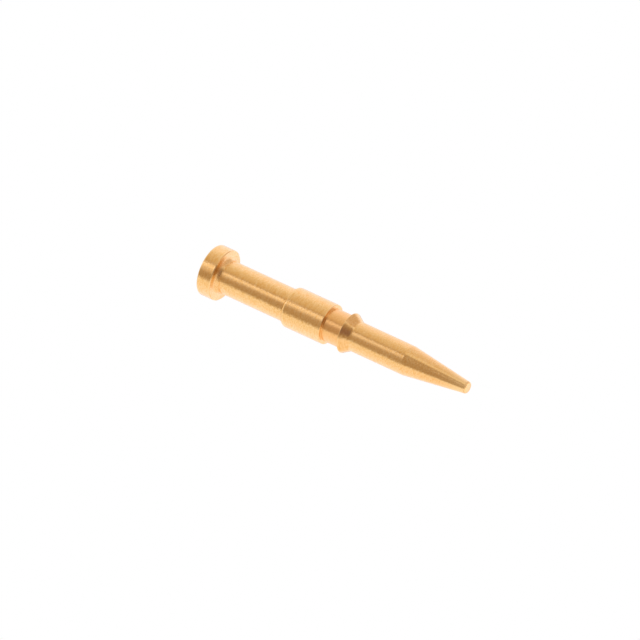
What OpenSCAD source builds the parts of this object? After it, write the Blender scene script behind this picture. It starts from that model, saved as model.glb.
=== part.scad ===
// Coaxial center pin: one gold-plated contact, turned from bar.
// It stands on its flat head. The origin is the center of the head's rear face, and +Z runs to the nose.

/* [Head] */
// Diameter of the flat head
head_d = 2.33; // [2.2:0.01:3.0]
// Thickness of the head
head_t = 0.69; // [0.4:0.01:1.2]
// Edge break on both rims of the head
head_break = 0.03; // [0.01:0.01:0.06]
// Fillet between the head and the shank
head_fillet = 0.2; // [0.02:0.01:0.25]

/* [Shank] */
// Diameter of the shank between the head and the collar
shank_d = 1.51; // [1.35:0.01:1.55]
// Length of the shank
shank_l = 3.53; // [2.0:0.01:6.0]
// Fillet that the turning tool leaves where the shank meets the collar
shank_fillet = 0.02; // [0.01:0.01:0.05]

/* [Collar] */
// Diameter of the collar that seats in the insulator
collar_d = 1.83; // [1.8:0.01:2.0]
// Length of the collar
collar_l = 2.04; // [1.0:0.01:4.0]
// Round on the collar's rear edge
collar_round = 0.1; // [0.02:0.01:0.12]
// Edge break on the collar's front edge
collar_break = 0.02; // [0.01:0.01:0.05]

/* [Retention groove] */
// Diameter at the bottom of the groove
groove_d = 1.52; // [1.4:0.01:1.65]
// Width of the groove between the collar and the barb
groove_l = 0.93; // [0.5:0.01:1.6]
// Fillet that the grooving tool leaves in both corners
groove_fillet = 0.02; // [0.01:0.01:0.06]

/* [Barb] */
// Diameter over the barb's edge
barb_d = 1.83; // [1.7:0.01:1.95]
// Round on the barb's rear edge
barb_round = 0.02; // [0.01:0.01:0.06]
// Flat left between that round and the ramp
barb_land = 0.01; // [0.01:0.01:0.1]
// Slope of the barb's ramp against the axis, in degrees
barb_angle = 32; // [20:1:45]
// Fillet where the ramp runs out on the contact
barb_fillet = 0.3; // [0.04:0.01:0.4]

/* [Contact] */
// Diameter of the contact, which the mating socket grips
contact_d = 1.35; // [1.2:0.01:1.4]
// Length of the contact, with the run-out of the ramp
contact_l = 2.75; // [1.5:0.01:5.0]

/* [Nose] */
// Length of the tapered nose
nose_l = 3.09; // [1.5:0.01:5.0]
// Diameter at the end of the nose
tip_d = 0.53; // [0.3:0.01:0.8]
// Round on the edge of the tip
tip_round = 0.09; // [0.02:0.01:0.12]

/* [Conductor bore] */
// Diameter of the bore that takes the cable's inner conductor
bore_d = 1.0; // [0.6:0.05:1.1]
// Depth of the bore
bore_depth = 3.6; // [1.5:0.05:5.0]
// Lead-in chamfer at the mouth of the bore
bore_lead_in = 0.08; // [0.02:0.01:0.15]

/* [Hidden] */
$fn = 96;

// Straight steps in each fillet and round of the section
arc_steps = 6;

// Heights at which one stretch of the pin ends and the next begins
collar_z = head_t + shank_l;
groove_z = collar_z + collar_l;
barb_z = groove_z + groove_l;
ramp_z = barb_z + barb_round + barb_land;
contact_z = ramp_z + (barb_d - contact_d) / 2 / tan(barb_angle);
nose_z = contact_z + contact_l;
tip_z = nose_z + nose_l;

// Angles at which the ramp and the nose run back from their front ends, against the radius
ramp_back = barb_angle - 90;
nose_back = atan2(-nose_l, (contact_d - tip_d) / 2);

// Unit vector at an angle from the radius
function toward(angle) = [cos(angle), sin(angle)];

// Arc of radius r in a corner whose sides leave it at angles a and b, from the first side to the second
function rounded(corner, a, b, r) =
    let (
        half = abs(b - a) / 2,
        turn = sign(b - a),
        center = corner + r / sin(half) * toward((a + b) / 2)
    )
    [for (i = [0:arc_steps]) center + r * toward(a - 90 * turn + turn * (2 * half - 180) * i / arc_steps)];

// Half of the section as [radius, height], from the bore out along the head and up to the tip
bore_line = [
    [0, bore_depth],
    [bore_d / 2, bore_depth],
    [bore_d / 2, bore_lead_in],
    [bore_d / 2 + bore_lead_in, 0]
];
head_line = [
    [head_d / 2 - head_break, 0],
    [head_d / 2, head_break],
    [head_d / 2, head_t - head_break],
    [head_d / 2 - head_break, head_t]
];
shank_line = concat(
    rounded([shank_d / 2, head_t], 0, 90, head_fillet),
    rounded([shank_d / 2, collar_z], -90, 0, shank_fillet)
);
collar_line = concat(
    rounded([collar_d / 2, collar_z], 180, 90, collar_round),
    [[collar_d / 2, groove_z - collar_break], [collar_d / 2 - collar_break, groove_z]]
);
groove_line = concat(
    rounded([groove_d / 2, groove_z], 0, 90, groove_fillet),
    rounded([groove_d / 2, barb_z], -90, 0, groove_fillet)
);
barb_line = concat(
    rounded([barb_d / 2, barb_z], 180, 90, barb_round),
    [[barb_d / 2, ramp_z]]
);
contact_line = concat(
    rounded([contact_d / 2, contact_z], ramp_back, 90, barb_fillet),
    [[contact_d / 2, nose_z]]
);
tip_line = concat(
    rounded([tip_d / 2, tip_z], 360 + nose_back, 180, tip_round),
    [[0, tip_z]]
);

module center_pin() {
    color("goldenrod")
        rotate_extrude()
            polygon(concat(bore_line, head_line, shank_line, collar_line,
                groove_line, barb_line, contact_line, tip_line));
}

center_pin();
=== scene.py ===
# %% [markdown]
# # A gold-plated coaxial center pin
# The pin is one piece of turned brass with a thin coat of gold. The CAD model fixes its place and its
# sizes, so the first step is to load that model and to note its box before anything is added.

import math

import bpy
from mathutils import Matrix, Vector


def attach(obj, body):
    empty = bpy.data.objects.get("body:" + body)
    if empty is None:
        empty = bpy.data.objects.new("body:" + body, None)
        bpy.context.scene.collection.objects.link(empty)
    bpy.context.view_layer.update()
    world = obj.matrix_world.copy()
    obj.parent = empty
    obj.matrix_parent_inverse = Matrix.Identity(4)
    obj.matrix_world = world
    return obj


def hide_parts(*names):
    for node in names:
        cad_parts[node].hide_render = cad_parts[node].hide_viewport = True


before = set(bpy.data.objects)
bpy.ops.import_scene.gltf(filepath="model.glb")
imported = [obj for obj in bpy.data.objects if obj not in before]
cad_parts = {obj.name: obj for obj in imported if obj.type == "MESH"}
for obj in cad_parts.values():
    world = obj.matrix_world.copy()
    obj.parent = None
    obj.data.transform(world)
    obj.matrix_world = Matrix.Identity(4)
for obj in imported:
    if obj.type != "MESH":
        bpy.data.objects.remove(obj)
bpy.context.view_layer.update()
MM = 0.001

# %% [markdown]
# ## The turned section
# A lathe makes every surface of the pin, so one line from the bottom of the bore round to the tip holds
# the whole shape. The section could be typed in again, but then two files would carry the same sizes.
# Here it is read back from the CAD mesh: points at one radius and one height form a ring, and the mesh
# edges say which ring follows which.

# %% Read the rings
RING_GAP = 0.0005 * MM
pin_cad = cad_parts["center_pin"]
rings, ring_of = [], []
for vertex in pin_cad.data.vertices:
    spot = Vector((math.hypot(vertex.co.x, vertex.co.y), vertex.co.z))
    found = [i for i, ring in enumerate(rings) if (ring - spot).length < RING_GAP]
    if not found:
        found = [len(rings)]
        rings.append(spot)
    ring_of.append(found[0])
print("rings read from the CAD mesh:", len(rings))

# %% Put the rings in order
beside = {i: set() for i in range(len(rings))}
for edge in pin_cad.data.edges:
    a, b = (ring_of[k] for k in edge.vertices)
    if a != b:
        beside[a].add(b)
        beside[b].add(a)

ends = [i for i in beside if len(beside[i]) == 1]
order = [min(ends, key=lambda i: rings[i].y)]
while len(order) < len(rings):
    order.append(next(i for i in beside[order[-1]] if i not in order))
section = [rings[i] for i in order]
section = [Vector((0, section[0].y))] + section + [Vector((0, section[-1].y))]
bore_end, tip = section[0].y / MM, section[-1].y / MM
print("section runs from", round(bore_end, 3), "mm in the bore to the tip at", round(tip, 3), "mm")

# %% [markdown]
# ## The straight walls
# The plating looks different on the groove, the contact, the head's rim and in the bore. Their places could
# be typed in as heights, but the section has them already: they are its six long lines at one radius, in the
# order in which the line runs.

# %% Name the straight walls
SHORTEST_WALL = 0.3 * MM
walls = [
    (a, b) for a, b in zip(section, section[1:])
    if abs(a.x - b.x) < RING_GAP and abs(a.y - b.y) > SHORTEST_WALL
]
bore_wall, head_rim, shank, collar, groove, contact = walls
print("lengths of the straight walls in mm:", [round(abs(a.y - b.y) / MM, 2) for a, b in walls])

# %% [markdown]
# ## Edges that catch the light
# No turned edge is knife sharp: the tool, the tumbling and the plating each round it by about a hundredth
# of a millimetre, and that round is the thin bright line along every step of the real pin. A Bevel
# modifier could add it, but on a lathe it is simpler to round the corners of the section first.

# %% Round the sharp corners of the section
EDGE_ROUND = 0.016 * MM
SHARP = math.radians(20)
ROUND_STEPS = 6
MOST_OF_A_SIDE = 0.4


def rounded_corner(before, corner, after):
    """The corner as an arc, or as it is where it turns too little to need one."""
    back, ahead = before - corner, after - corner
    bend = math.pi - back.angle(ahead)
    if bend < SHARP:
        return [corner]
    room = MOST_OF_A_SIDE * min(back.length, ahead.length)
    reach = min(EDGE_ROUND * math.tan(bend / 2), room)
    start, end = corner + back.normalized() * reach, corner + ahead.normalized() * reach
    weight, points = math.cos(bend / 2), []
    for i in range(ROUND_STEPS + 1):
        t = i / ROUND_STEPS
        a, b, c = (1 - t) ** 2, 2 * t * (1 - t) * weight, t ** 2
        points.append((start * a + corner * b + end * c) / (a + b + c))
    return points


soft_section = [section[0]]
for before, corner, after in zip(section, section[1:], section[2:]):
    soft_section += rounded_corner(before, corner, after)
soft_section.append(section[-1])
print("points after rounding:", len(soft_section))

# %% [markdown]
# ## Rings that hold the flats flat
# Smooth shading blends the normals of neighbouring faces, so a long wall beside a tiny round would look
# dished. One more ring just inside each end of a wall keeps its normals straight, and evenly spaced rings
# between them keep the faces short.

# %% Add the holding rings
HOLD = 0.004 * MM
SHORT = 0.04 * MM
LONGEST = 0.2 * MM
profile = [soft_section[0]]
for a, b in zip(soft_section, soft_section[1:]):
    if (b - a).length > SHORT:
        step = (b - a).normalized() * HOLD
        inner_a, inner_b = a + step, b - step
        pieces = max(1, math.ceil((inner_b - inner_a).length / LONGEST))
        profile += [inner_a.lerp(inner_b, i / pieces) for i in range(pieces + 1)]
    profile.append(b)
print("rings in the finished profile:", len(profile))

# %% [markdown]
# ## Turning the pin
# The profile is swept round the axis in mesh code, with quads between the rings and a fan of triangles
# where the line meets the axis. Blender's Screw modifier does the same, but here the faces are built
# directly.

# %% Sweep the profile
TURNS = 192
points, faces, loops = [], [], []
for spot in profile:
    count = 1 if spot.x < RING_GAP else TURNS
    loops.append(range(len(points), len(points) + count))
    for j in range(count):
        angle = 2 * math.pi * j / TURNS
        points.append((spot.x * math.cos(angle), spot.x * math.sin(angle), spot.y))
for lower, upper in zip(loops, loops[1:]):
    for j in range(TURNS):
        k = (j + 1) % TURNS
        corners = [lower[j % len(lower)], lower[k % len(lower)], upper[k % len(upper)], upper[j % len(upper)]]
        faces.append(list(dict.fromkeys(corners)))
print("points:", len(points), "and faces:", len(faces))

# %% Put the pin on its body
pin_mesh = bpy.data.meshes.new("turned_pin")
pin_mesh.from_pydata(points, [], faces)
pin_mesh.shade_smooth()
turned_pin = bpy.data.objects.new("turned_pin", pin_mesh)
bpy.context.scene.collection.objects.link(turned_pin)
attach(turned_pin, "root")
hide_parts("center_pin")
print("faces in the turned pin:", len(pin_mesh.polygons))

# %% [markdown]
# ## Arithmetic on sockets
# A finish is mostly arithmetic on positions, and that reads best as Python. This class wraps one socket:
# an expression adds Math nodes, and node() adds any other kind, with its settings first and then the
# values or links of its sockets.

# %% The socket class
class Wire:
    """One output socket of a node tree."""

    def __init__(self, tree, socket=None):
        self.tree, self.socket = tree, socket

    def node(self, kind, settings=None, inputs=None, out=0):
        """The chosen output of a new node."""
        made = self.tree.nodes.new("ShaderNode" + kind)
        for name, value in (settings or {}).items():
            setattr(made, name, value)
        for key, value in (inputs or {}).items():
            if isinstance(value, Wire):
                self.tree.links.new(value.socket, made.inputs[key])
            else:
                made.inputs[key].default_value = value
        return Wire(self.tree, made.outputs[out] if made.outputs else None)

    def parts(self, vector):
        """The x, y and z of a vector."""
        split = self.node("SeparateXYZ", inputs={0: vector}).socket.node
        return [Wire(self.tree, socket) for socket in split.outputs]

    def math(self, operation, *values):
        return self.node("Math", {"operation": operation}, dict(enumerate(values)))

    def vector(self, operation, inputs, out=0):
        return self.node("VectorMath", {"operation": operation}, inputs, out)

    def __add__(self, other):
        return self.math("ADD", self, other)

    def __radd__(self, other):
        return self.math("ADD", other, self)

    def __sub__(self, other):
        return self.math("SUBTRACT", self, other)

    def __rsub__(self, other):
        return self.math("SUBTRACT", other, self)

    def __mul__(self, other):
        return self.math("MULTIPLY", self, other)

    def __rmul__(self, other):
        return self.math("MULTIPLY", other, self)

    def __truediv__(self, other):
        return self.math("DIVIDE", self, other)

    def __abs__(self):
        return self.math("ABSOLUTE", self)

    def rise(self, start, end):
        """0 up to start, 1 from end on, and a smooth slope between."""
        settings = {"interpolation_type": "SMOOTHSTEP"}
        return self.node("MapRange", settings, {0: self, 1: start, 2: end, 3: 0.0, 4: 1.0})

    def between(self, start, full, fade, end):
        """1 from full to fade, 0 before start and after end."""
        return self.rise(start, full) * (1 - self.rise(fade, end))

    def tint(self, first, second):
        """The first colour where this is 0, and the second where it is 1."""
        first, second = (c if isinstance(c, Wire) else (*c, 1.0) for c in (first, second))
        settings = {"data_type": "RGBA", "clamp_factor": True}
        return self.node("Mix", settings, {0: self, 6: first, 7: second}, out=2)


def emptied(tree):
    """A node tree without its first nodes, ready for the new ones."""
    tree.nodes.clear()
    return Wire(tree)


print("socket class ready")

# %% [markdown]
# ## Lathe marks under the gold
# The gold is only a few micrometres thick, so it follows the lathe's marks in the brass under it. They are
# rings round the axis, finer than a pixel in the photograph, and they show as faint streaks across the bright
# bands. Noise sampled at the radius and the height gives such rings on walls, cones and flat faces alike, and
# a share of the angle round the axis breaks each ring into short streaks.

# %% Rings left by the lathe
gold = bpy.data.materials.new("gold_plating")
gold.use_nodes = True
bench = emptied(gold.node_tree)
place = bench.node("TexCoord", out="Object")
x, y, z = (part / MM for part in bench.parts(place))
radius = bench.math("SQRT", x * x + y * y)


def lathe_marks(pitch, breaks, detail):
    """Noise in rings about a pitch apart, each of them broken into streaks by the angle round the axis."""
    spot = bench.node("CombineXYZ", inputs={0: radius / pitch, 1: z / pitch, 2: x / radius * breaks})
    settings = {"noise_dimensions": "4D"}
    inputs = {"Vector": spot, "W": y / radius * breaks, "Scale": 1.0, "Detail": detail}
    return bench.node("TexNoise", settings, inputs)


fine_marks = lathe_marks(pitch=0.045, breaks=5.0, detail=1.0)
broad_marks = lathe_marks(pitch=0.16, breaks=1.0, detail=2.0)
print("lathe marks made with nodes:", len(gold.node_tree.nodes))

# %% [markdown]
# ## Facets of the gold
# Seen close, the coat isn't a mirror but a skin of tiny facets. Each is a little deeper or paler than the
# next and leans its own way, which gives the sparkle along the bands in the photograph. Noise would look
# like clouds here. A Voronoi texture has flat cells, and the random colour of each cell serves twice: one
# channel sets the tone, and all three of them set the lean. The bath also leaves wide patches that are
# faintly redder.

# %% Facets and patches
FACET = 0.032 * MM
PATCH = 1.4 * MM
facets = bench.node("TexVoronoi", inputs={"Vector": place, "Scale": 1 / FACET}, out="Color")
patches = bench.node("TexNoise", inputs={"Vector": place, "Scale": 1 / PATCH, "Detail": 2.0})
FACET_SHARE, STREAK_SHARE = 0.6, 0.4
grain = bench.parts(facets)[0] * FACET_SHARE + fine_marks.rise(0.35, 0.65) * STREAK_SHARE
print("facets", FACET / MM, "mm wide, patches", PATCH / MM, "mm wide")

# %% [markdown]
# ## Where the gold differs
# A socket and an insulator rub the outer edges of such a pin and leave them paler, and that paler tone is
# partly a painted glint as well. The front faces are made paler as a painted lighter reflection, and the
# groove redder as a painted reflection of its own walls, while the bore is redder too. These places could
# be painted by hand, but the section says where they are, so each mask is worked out from its walls and
# corners. blend() then adds up masks, each with its own share.

# %% Masks from the section
EASE, OFF_THE_WALL, EDGE_REACH = 0.02, 0.05, 0.07


def along(wall):
    """1 on one straight wall of the pin, and 0 past its ends and away from its radius."""
    low, high = sorted(end.y / MM for end in wall)
    off = abs(radius - wall[0].x / MM)
    return z.between(low - EASE, low, high, high + EASE) * (1 - off.rise(EASE, OFF_THE_WALL))


def faced(lower, upper):
    """1 on the front face between two walls and on the fillet at its foot."""
    start, end = lower[1].y / MM, upper[0].y / MM
    return z.between(start + EASE, start + 2 * EASE, end - 1.5 * EASE, end)


def scuffed_and_glinting(edge):
    """1 on an outer edge of the pin, and 0 a few hundredths of a millimetre away from it."""
    here = bench.node("CombineXYZ", inputs={0: radius, 1: z})
    there = (edge.x / MM, edge.y / MM, 0.0)
    return 1 - bench.vector("DISTANCE", {0: here, 1: there}, out="Value").rise(EASE, EDGE_REACH)


def blend(shares, start=0.0):
    """The sum of some masks, each times its share, on top of a start value."""
    return sum((mask * share for mask, share in shares), start)


barb = max((spot for spot in section if spot.y > groove[1].y), key=lambda spot: spot.x)
outer_edges = (*head_rim, *collar, barb)
# These edges are made paler further down, as wear and partly as a painted glint.
edges = sum(scuffed_and_glinting(edge) for edge in outer_edges)
fronts = faced(head_rim, shank) + faced(collar, groove)
in_groove, in_bore = along(groove), along(bore_wall)
flat = abs(bench.parts(bench.node("TexCoord", out="Normal"))[2]).rise(0.75, 0.97)
print("outer edges that are rubbed:", len(outer_edges))

# %% [markdown]
# ## Tone
# One even colour would look like paint. The facets mix a deep and a pale gold, then the edges and the
# tip's sides go towards a paler gold by wear, with the edges partly a painted glint, and the front faces go
# the same way as a painted lighter reflection. The groove goes towards a redder gold as a painted reflection,
# and the bore and the patches go redder too. The sides of the tip slide into the socket, so they are the
# palest, while its flat end touches nothing and keeps its colour.

# %% Colours of the gold
DEEP_GOLD, PALE_GOLD = (0.88, 0.556, 0.203), (1.0, 0.778, 0.45)
# The redder gold is partly a painted reflection in the groove, and the paler gold is partly a painted sheen
# and glint.
RED_GOLD, WEAR_AND_SHEEN_GOLD = (0.97, 0.597, 0.275), (1.0, 0.796, 0.464)
TIP_WEAR = 1.6
tip_sides = z.rise(tip - TIP_WEAR, tip) * (1 - flat)
# Paler gold: wear on the tip's sides, wear and partly a painted glint on the edges, and a painted lighter
# reflection on the front faces.
wear_and_sheen = [(tip_sides, 0.8), (edges, 0.5), (fronts, 0.3)]
# Redder gold: random patches, a painted reflection in the groove, and the bore made redder too.
redder = [(patches.rise(0.5, 0.75), 0.2), (in_groove, 0.5), (in_bore, 0.4)]
tone = grain.tint(DEEP_GOLD, PALE_GOLD)
tone = blend(wear_and_sheen).tint(tone, WEAR_AND_SHEEN_GOLD)
tone = blend(redder).tint(tone, RED_GOLD)
print("masks in the tone:", len(wear_and_sheen), "for worn gold and", len(redder), "for redder gold")

# %% [markdown]
# ## Gloss
# How sharp a band looks depends on how each surface was cut. The head's rim is the drawn bar's own smooth
# skin, walls are turned with a fine feed, and faces and the groove with a square tool, which leaves them
# duller. A drill leaves the bore duller still, and the socket scuffs the round of the tip. Each entry below
# is a mask and what it adds to Roughness.

# %% Roughness of each surface
POLISHED = 0.13
NOSE_START, NOSE_FULL, TIP_ROUND_START, TIP_ROUND_FULL = 2.2, 0.6, 0.12, 0.07
nose = z.rise(tip - NOSE_START, tip - NOSE_FULL) * (1 - flat)
tip_round = z.rise(tip - TIP_ROUND_START, tip - TIP_ROUND_FULL) * (1 - flat)
duller = [
    (broad_marks, 0.04), (grain, 0.04), (flat, 0.06), (fronts, 0.1), (in_groove, 0.06), (in_bore, 0.14),
    (along(contact), 0.05), (along(head_rim), -0.03), (nose, 0.07), (tip_round, 0.25),
]
roughness = blend(duller, POLISHED)
print("masks in the roughness:", len(duller))

# %% [markdown]
# ## The plating's shader
# The lean of the facets and the relief of the lathe marks both go into the normal, so tone, gloss and relief
# change together. Turning also draws highlights out across its rings, and the anisotropy of the Principled
# shader does that without a groove for each ring.

# %% Lean, relief and metal
LEAN = 0.065
RELIEF = 0.0015 * MM
BROAD_SHARE = 0.6
lean = bench.vector("SUBTRACT", {0: facets, 1: (0.5, 0.5, 0.5)})
lean = bench.vector("SCALE", {0: lean, "Scale": LEAN})
lean = bench.vector("ADD", {0: lean, 1: bench.node("NewGeometry", out="Normal")})
lean = bench.vector("NORMALIZE", {0: lean})
height = fine_marks + broad_marks * BROAD_SHARE
relief = bench.node("Bump", inputs={"Strength": 1.0, "Distance": RELIEF, "Height": height, "Normal": lean})
plating = bench.node("BsdfPrincipled", inputs={
    "Base Color": tone, "Metallic": 1.0, "Roughness": roughness, "Normal": relief,
    "Anisotropic": 0.9, "Anisotropic Rotation": 0.25,
})
bench.node("OutputMaterial", inputs={"Surface": plating})
pin_mesh.materials.append(gold)
print("nodes in the plating:", len(gold.node_tree.nodes))

# %% [markdown]
# ## Floor
# The photograph's ground is plain white, lit so evenly that the pin leaves no shadow. A large sheet that
# glows white does that. It is hidden from reflections, because the pin should mirror the studio's cards
# and not the sheet it stands on, and its underside is clear, so that the bore can be seen from below.

# %% White sheet under the pin
SHEET = 4.0
SHEET_DROP = 0.002 * MM
corners = [(-SHEET, -SHEET), (SHEET, -SHEET), (SHEET, SHEET), (-SHEET, SHEET)]
sheet_mesh = bpy.data.meshes.new("white_floor")
sheet_mesh.from_pydata([(a, b, -SHEET_DROP) for a, b in corners], [], [(0, 1, 2, 3)])
white_floor = bpy.data.objects.new("white_floor", sheet_mesh)
bpy.context.scene.collection.objects.link(white_floor)
white_floor.visible_glossy = False
white_floor.visible_diffuse = False
white_floor.visible_shadow = False
print("floor", 2 * SHEET, "m across")

# %% The sheet's glow
WHITE = (1.0, 1.0, 1.0)
glow = bpy.data.materials.new("white_sheet")
glow.use_nodes = True
table = emptied(glow.node_tree)
lit = table.node("Emission", inputs={"Color": (*WHITE, 1.0), "Strength": 1.0})
clear = table.node("BsdfTransparent")
underside = table.node("NewGeometry", out="Backfacing")
sheet = table.node("MixShader", inputs={0: underside, 1: lit, 2: clear})
table.node("OutputMaterial", inputs={"Surface": sheet})
sheet_mesh.materials.append(glow)
print("nodes in the sheet:", len(glow.node_tree.nodes))

# %% [markdown]
# ## Studio
# Polished metal shows its surroundings, so the studio is what draws the bands on the pin. It is a white tent
# under warm lamps, with a few soft cards placed by their angle round the pin and above the horizon. Real
# cards could stand there as meshes with lamps behind them, but a world has no noise and no seams.

# %% Directions in the studio
studio = bpy.data.worlds.new("white_tent")
bpy.context.scene.world = studio
studio.use_nodes = True
tent = emptied(studio.node_tree)
ray = tent.vector("NORMALIZE", {0: tent.node("TexCoord", out="Generated")})
ray_x, ray_y, ray_z = tent.parts(ray)
DEGREES = 180 / math.pi
turn = tent.math("ARCTAN2", ray_x, 0 - ray_y) * DEGREES
up = tent.math("ARCSINE", ray_z) * DEGREES
away = abs(turn)
print("studio angles: turn from the camera's side, and up from the horizon")

# %% [markdown]
# ## Cards
# The pin's walls mirror what stands 26 degrees below the horizon, the ramp and the fillet by the head mirror
# what is high up, and the collar's rear edge what is far down. So a dark card stands on the camera's side
# with the lens's shade above it, and a tan card to its left, with a bright gap between the two. A second tan
# card is higher up, the far wall is cooler, a foot card lies low, and a narrow back card gives the back view
# its band.

# %% Cards in the studio
DARK, DARK_FOOT = (0.47, 0.385, 0.29), (0.63, 0.55, 0.52)
LENS, OVERHEAD = (0.25, 0.19, 0.185), (0.3, 0.165, 0.135)
HIGH_TAN, HIGH_TAN_TOP = (0.68, 0.58, 0.53), (0.76, 0.55, 0.42)
wall_level = 1 - up.rise(-24, -17)
far_down = 1 - up.rise(-46, -34)
leaning = turn + up.rise(-16, 30) * 17
closing = turn + up.between(-24, -12, -4, 16) * 4
dark_edges = leaning.rise(-38, -20) * (1 - closing.rise(39, 62)) * up.rise(-50, -40)
dark_tone = wall_level.tint(DARK, turn.rise(-10, 36).tint(DARK_FOOT, DARK))
lens_tone = up.rise(38, 46).tint(LENS, OVERHEAD)
high_tone = up.rise(40, 52).tint(HIGH_TAN, HIGH_TAN_TOP)
cards = {
    "far wall": (away.rise(65, 128), (1.17, 1.18, 1.5)),
    "high wall": (turn.between(45, 65, 130, 160) * up.rise(-22, -12), (1.03, 0.96, 0.94)),
    "tan card": (turn.between(-98, -30, -24, -14) * (1 - up.rise(-20, -5)), (0.67, 0.57, 0.42)),
    "high tan card": (turn.between(-150, -115, -62, -42) * up.rise(-34, 10), high_tone),
    "dark card": (dark_edges, dark_tone),
    "lens shade": (turn.between(-45, 0, 12, 42) * up.between(-4, 20, 48, 62), lens_tone),
    "overhead shade": (up.rise(62, 82) * (1 - ray_x.rise(-0.1, 0.12)), OVERHEAD),
    "bright gap": (turn.between(-28, -11, -14, 13) * wall_level, (1.24, 1.23, 1.3)),
    "low wall": (away.rise(60, 80) * far_down, (0.96, 0.92, 0.9)),
    "foot card": (turn.between(115, 145, 165, 180) * far_down, (0.72, 0.63, 0.54)),
    "back card": (away.rise(158, 173) * up.between(-50, -40, -10, 2), (0.55, 0.46, 0.35)),
}
light = WHITE
for mask, colour in cards.values():
    light = mask.tint(light, colour)
print("in the studio:", ", ".join(cards))

# %% Lamps behind the tent
LAMPS = (1.0, 0.855, 0.695)
BRIGHTNESS = 1.02
light = tent.vector("MULTIPLY", {0: light, 1: LAMPS})
seen = tent.node("LightPath", out="Is Camera Ray")
sky = tent.node("Background", inputs={"Color": seen.tint(light, WHITE), "Strength": BRIGHTNESS})
tent.node("OutputWorld", inputs={"Surface": sky})
bpy.context.scene.view_settings.view_transform = "Standard"
print("nodes in the studio:", len(studio.node_tree.nodes))

# %% [markdown]
# ## Lamps close to the pin
# Two places in the photograph have light that a far wall can't explain. The fillet by the head and the round
# on the tip's edge both mirror what hangs above them, and only the fillet is dark. The bright line is also
# wider on the head's rim than on the shank beside it. The tent shows the same to all of them, because it is
# far away. So a small round lamp close to the tip and one close to the rim each light one place alone. Both
# are hidden from the camera.

# %% Lamps near the tip and the head
def near_lamp(name, where, facing, width, radiance):
    """A round lamp that faces along a direction and shows in the pin only."""
    data = bpy.data.lights.new(name, "AREA")
    data.shape, data.size, data.color = "DISK", width, LAMPS
    data.energy = math.pi * math.pi * (width / 2) ** 2 * radiance
    lamp = bpy.data.objects.new(name, data)
    lamp.matrix_world = Matrix.Translation(where) @ facing.to_track_quat("-Z", "Y").to_matrix().to_4x4()
    lamp.visible_camera = False
    bpy.context.scene.collection.objects.link(lamp)
    return lamp


TIP_FRONT, TIP_ABOVE = 0.9 * MM, 0.5 * MM
HEAD_ASIDE, HEAD_BELOW, HEAD_AWAY = math.radians(11), math.radians(25.7), 4 * MM
over_tip, down = Vector((0, -TIP_FRONT, tip * MM + TIP_ABOVE)), Vector((0, 0, -1))
rim = Vector((0, -head_rim[0].x, (head_rim[0].y + head_rim[1].y) / 2))
to_lamp = Matrix.Rotation(HEAD_ASIDE, 3, "Z") @ Matrix.Rotation(HEAD_BELOW, 3, "X") @ Vector((0, -1, 0))
near_lamps = [
    near_lamp("tip_lamp", over_tip, down, width=2.8 * MM, radiance=0.346),
    near_lamp("head_lamp", rim + to_lamp * HEAD_AWAY, -to_lamp, width=1.2 * MM, radiance=0.15),
]
print("lamps close to the pin:", ", ".join(lamp.name for lamp in near_lamps))

# %% [markdown]
# ## Camera
# The photograph was taken with a long lens, because the far end of the pin looks no smaller than the near
# end. The camera stands about 26 degrees above the head's plane and is rolled until the pin points down to
# the right, as it does in the picture.

# %% The photograph's view
LENS_LENGTH = 1200.0
FRAME_WIDTH = 27.481 * MM
RISE = math.radians(25.679)
ROLL = math.radians(114.802)
AIM = Vector((0.0135 * MM, 0, 5.697 * MM))
camera_data = bpy.data.cameras.new("camera")
camera_data.lens = LENS_LENGTH
camera_data.clip_start, camera_data.clip_end = 10 * MM, 10.0
camera = bpy.data.objects.new("camera", camera_data)
bpy.context.scene.collection.objects.link(camera)
bpy.context.scene.camera = camera

back = Vector((0, -math.cos(RISE), math.sin(RISE)))
right, upward = Vector((1, 0, 0)), Vector((0, math.sin(RISE), math.cos(RISE)))
frame_right = right * math.cos(ROLL) + upward * math.sin(ROLL)
frame_up = upward * math.cos(ROLL) - right * math.sin(ROLL)
distance = LENS_LENGTH / camera_data.sensor_width * FRAME_WIDTH
turned = Matrix((frame_right, frame_up, back)).transposed().to_4x4()
camera.matrix_world = Matrix.Translation(AIM + back * distance) @ turned
print("camera distance in mm:", round(distance / MM, 1))
